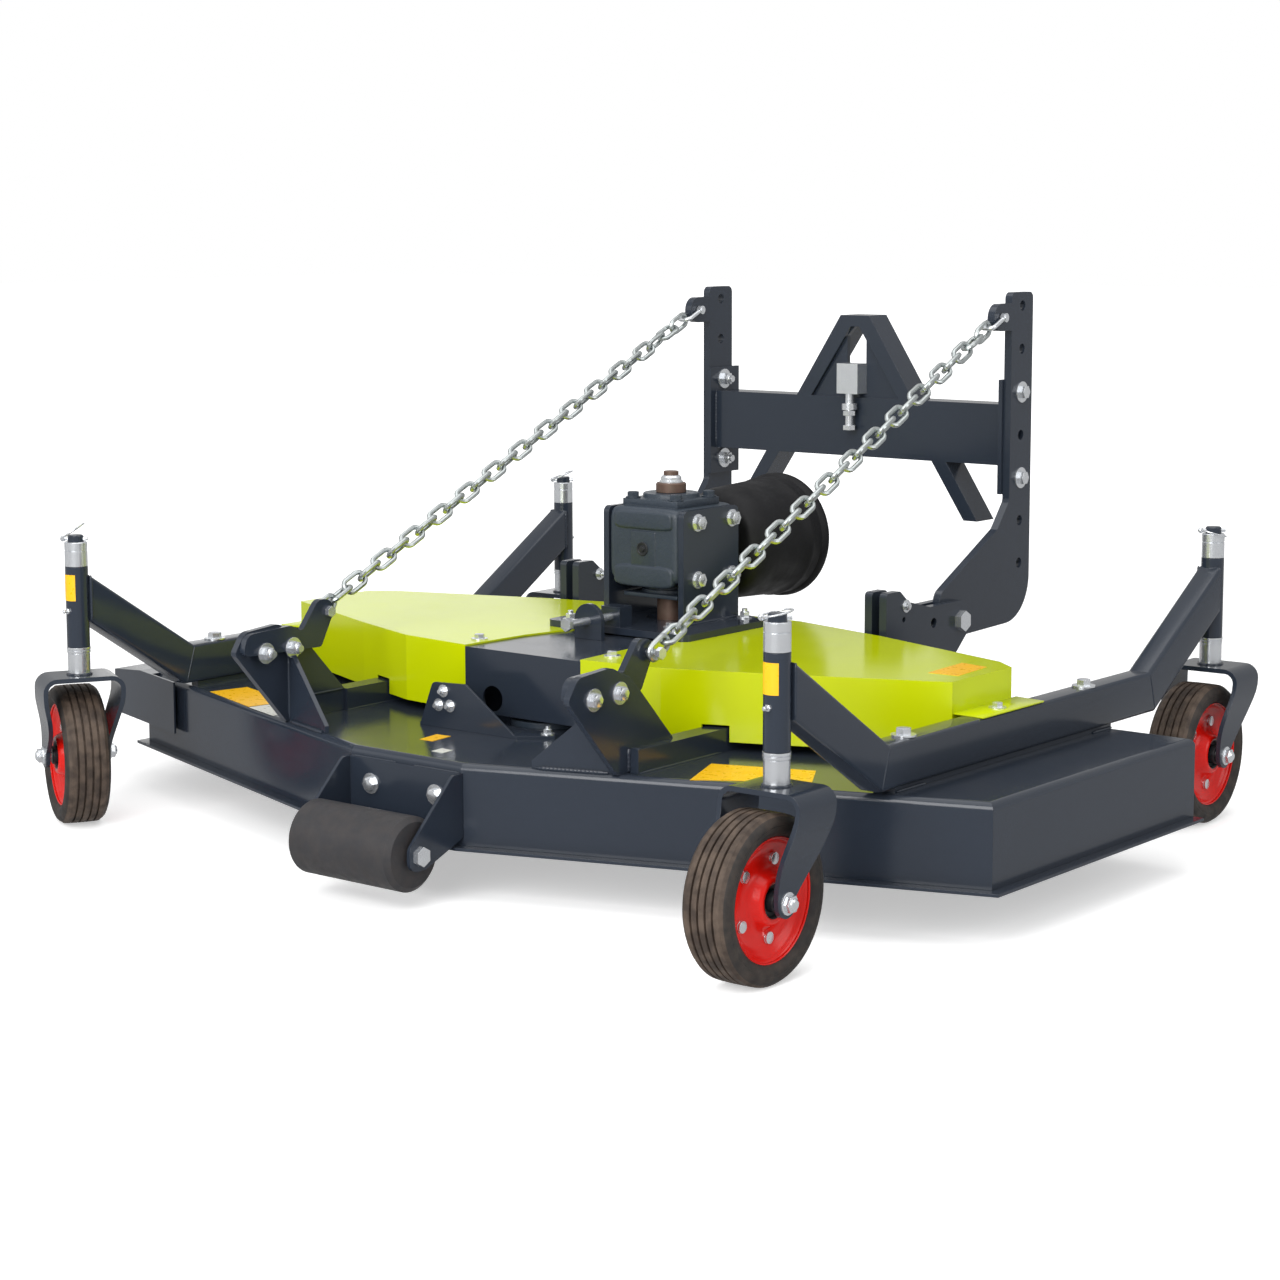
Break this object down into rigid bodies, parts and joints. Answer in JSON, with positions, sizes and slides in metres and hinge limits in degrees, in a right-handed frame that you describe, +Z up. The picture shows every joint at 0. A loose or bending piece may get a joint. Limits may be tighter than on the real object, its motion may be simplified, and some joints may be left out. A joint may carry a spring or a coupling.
{
  "type": "front rotary mower",
  "caption": "Front-mounted rotary mower deck on castor wheels, with a nose roller, belt covers, gearbox with shaft guard, and an A-frame hitch held by chains.",
  "frame": {"origin": "on the ground, midway between the four castor stems", "axes": "+Z up, +X to the right of the direction of travel, -Y the direction of travel; +Y along the input shaft towards the carrying machine"},
  "size_m": [2.002, 1.5708, 0.931],
  "materials": {
    "paint_dark": "gloss",
    "paint_cast": "satin",
    "paint_lime": "gloss",
    "paint_red": "gloss",
    "zinc": "satin",
    "bare_steel": "satin",
    "blade_steel": "satin",
    "guard_plastic": "matte",
    "roller_rubber": "satin",
    "tyre_rubber": "matte"
  },
  "bodies": {
    "deck": {"deck_shell": "paint_dark", "skid_rails": "paint_dark", "side_hood": "paint_dark", "side_beams": "paint_dark", "inner_rails": "paint_dark", "centre_box": "paint_dark", "belt_covers": "paint_lime", "gearbox_mount": "paint_dark", "gearbox": "paint_cast", "gearbox_cap": "zinc", "shaft_guard": "guard_plastic", "tension_ear": "paint_dark", "tension_bolt": "zinc", "front_bracket": "paint_dark", "chain_anchors": "paint_dark", "anchor_arms": "paint_dark", "anchor_bolts": "zinc", "chains": "zinc", "roller_bracket": "paint_dark", "roller_axle": "zinc", "spindle_housings": "paint_cast", "pivot_plates": "paint_dark", "pivot_bolts": "zinc"},
    "hitch": {"uprights": "paint_dark", "hitch_frame": "paint_dark", "latch_block": "zinc", "latch_bolt": "zinc", "shackles": "zinc"},
    "roller_body": {"roller": "roller_rubber"},
    "blade_centre_body": {"blade_centre": "blade_steel"},
    "blade_left_body": {"blade_left": "blade_steel"},
    "blade_right_body": {"blade_right": "blade_steel"},
    "output_shaft_body": {"output_shaft": "bare_steel"},
    "input_shaft_body": {"input_shaft": "bare_steel"},
    "castor_fr": {"fork_fr": "paint_dark", "fork_hardware_fr": "zinc"},
    "wheel_fr": {"rim_fr": "paint_red", "tyre_fr": "tyre_rubber"},
    "castor_fl": {"fork_fl": "paint_dark", "fork_hardware_fl": "zinc"},
    "wheel_fl": {"rim_fl": "paint_red", "tyre_fl": "tyre_rubber"},
    "castor_rr": {"fork_rr": "paint_dark", "fork_hardware_rr": "zinc"},
    "wheel_rr": {"rim_rr": "paint_red", "tyre_rr": "tyre_rubber"},
    "castor_rl": {"fork_rl": "paint_dark", "fork_hardware_rl": "zinc"},
    "wheel_rl": {"rim_rl": "paint_red", "tyre_rl": "tyre_rubber"}
  },
  "joints": [
    {"name": "hitch_tilt", "type": "hinge", "parent": "deck", "child": "hitch", "pos_m": [0, 0.437, 0.345], "axis": [1, 0, 0], "range_deg": [0, 15], "deforming": ["chains"]},
    {"name": "roller_spin", "type": "hinge", "parent": "deck", "child": "roller_body", "pos_m": [0, -0.728, 0.091], "axis": [1, 0, 0], "continuous": true},
    {"name": "blade_centre_spin", "type": "hinge", "parent": "deck", "child": "blade_centre_body", "pos_m": [0, -0.27, 0.104], "axis": [0, 0, 1], "continuous": true},
    {"name": "blade_left_spin", "type": "hinge", "parent": "deck", "child": "blade_left_body", "pos_m": [-0.6, -0.06, 0.104], "axis": [0, 0, 1], "continuous": true},
    {"name": "blade_right_spin", "type": "hinge", "parent": "deck", "child": "blade_right_body", "pos_m": [0.6, -0.06, 0.104], "axis": [0, 0, 1], "continuous": true},
    {"name": "output_spin", "type": "hinge", "parent": "deck", "child": "output_shaft_body", "pos_m": [0, 0.065, 0.35], "axis": [0, 0, 1], "continuous": true},
    {"name": "input_spin", "type": "hinge", "parent": "deck", "child": "input_shaft_body", "pos_m": [0, 0.23, 0.48], "axis": [0, 1, 0], "continuous": true},
    {"name": "castor_fr_swivel", "type": "hinge", "parent": "deck", "child": "castor_fr", "pos_m": [0.757, -0.661, 0.276], "axis": [0, 0, 1], "continuous": true},
    {"name": "wheel_fr_spin", "type": "hinge", "parent": "castor_fr", "child": "wheel_fr", "pos_m": [0.757, -0.714, 0.124], "axis": [1, 0, 0], "continuous": true},
    {"name": "castor_fl_swivel", "type": "hinge", "parent": "deck", "child": "castor_fl", "pos_m": [-0.757, -0.661, 0.276], "axis": [0, 0, 1], "continuous": true},
    {"name": "wheel_fl_spin", "type": "hinge", "parent": "castor_fl", "child": "wheel_fl", "pos_m": [-0.80336, -0.63531, 0.124], "axis": [-0.4848, -0.8746, 0], "continuous": true},
    {"name": "castor_rr_swivel", "type": "hinge", "parent": "deck", "child": "castor_rr", "pos_m": [0.757, 0.661, 0.276], "axis": [0, 0, 1], "continuous": true},
    {"name": "wheel_rr_spin", "type": "hinge", "parent": "castor_rr", "child": "wheel_rr", "pos_m": [0.75885, 0.60803, 0.124], "axis": [0.9994, 0.0349, 0], "continuous": true},
    {"name": "castor_rl_swivel", "type": "hinge", "parent": "deck", "child": "castor_rl", "pos_m": [-0.757, 0.661, 0.276], "axis": [0, 0, 1], "continuous": true},
    {"name": "wheel_rl_spin", "type": "hinge", "parent": "castor_rl", "child": "wheel_rl", "pos_m": [-0.75515, 0.60803, 0.124], "axis": [0.9994, 0.0349, 0], "continuous": true}
  ],
  "couplings": [
    {"joint": "blade_left_spin", "follows": "blade_centre_spin", "ratio": 1},
    {"joint": "blade_right_spin", "follows": "blade_centre_spin", "ratio": 1},
    {"joint": "output_spin", "follows": "blade_centre_spin", "ratio": 0.6},
    {"joint": "input_spin", "follows": "blade_centre_spin", "ratio": 0.2}
  ]
}
